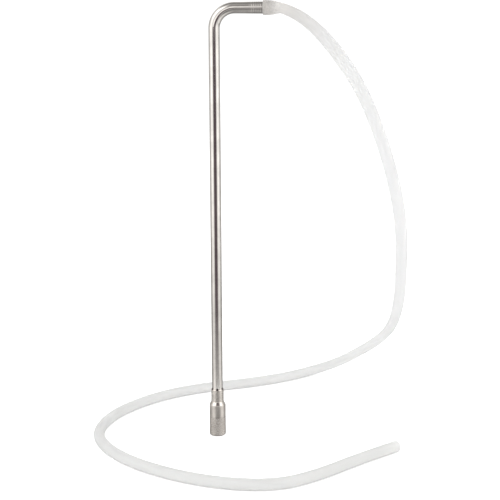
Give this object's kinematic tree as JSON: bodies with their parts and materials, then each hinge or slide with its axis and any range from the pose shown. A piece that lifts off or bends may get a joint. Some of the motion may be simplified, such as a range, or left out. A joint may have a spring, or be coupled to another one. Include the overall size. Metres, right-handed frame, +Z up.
{
  "type": "auto siphon",
  "caption": "Bent steel racking cane with a ball valve foot that unscrews for cleaning and a soft translucent hose pushed over the ridged end of its arm, for moving liquid between vessels.",
  "frame": {"origin": "centre of the foot's bottom face, where the intake hole opens, on the axis of the upright cane", "axes": "+Z up along the cane, +X along the arm towards the hose, +Y away from the front view"},
  "size_m": [0.3767, 0.4347, 0.502],
  "materials": {
    "polished_steel": "polished",
    "turned_steel": "satin turned",
    "knurled_steel": "satin, diamond knurl",
    "ball_steel": "ground and polished",
    "seal_rubber": "matt silicone rubber",
    "silicone": "milky translucent silicone"
  },
  "bodies": {
    "cane": {"cane_tube": "polished_steel", "valve_body": "turned_steel", "ball_stop": "turned_steel", "hose_cuff": "silicone", "hose": "silicone"},
    "seal": {"cap_gasket": "seal_rubber"},
    "cap": {"valve_cap": "knurled_steel", "ball_seat": "seal_rubber"},
    "ball": {"check_ball": "ball_steel"}
  },
  "joints": [
    {"name": "cap_travel", "type": "slide", "parent": "cane", "child": "seal", "axis": [0, 0, -1], "range_m": [0, 0.0105]},
    {"name": "cap_screw", "type": "hinge", "parent": "seal", "child": "cap", "pos_m": [0, 0, 0.023], "axis": [0, 0, -1], "range_deg": [0, 2520]},
    {"name": "ball_lift", "type": "slide", "parent": "cap", "child": "ball", "axis": [0, 0, 1], "range_m": [0, 0.0155]}
  ],
  "couplings": [
    {"joint": "cap_travel", "follows": "cap_screw", "m_per_rad": 0.00023873}
  ]
}
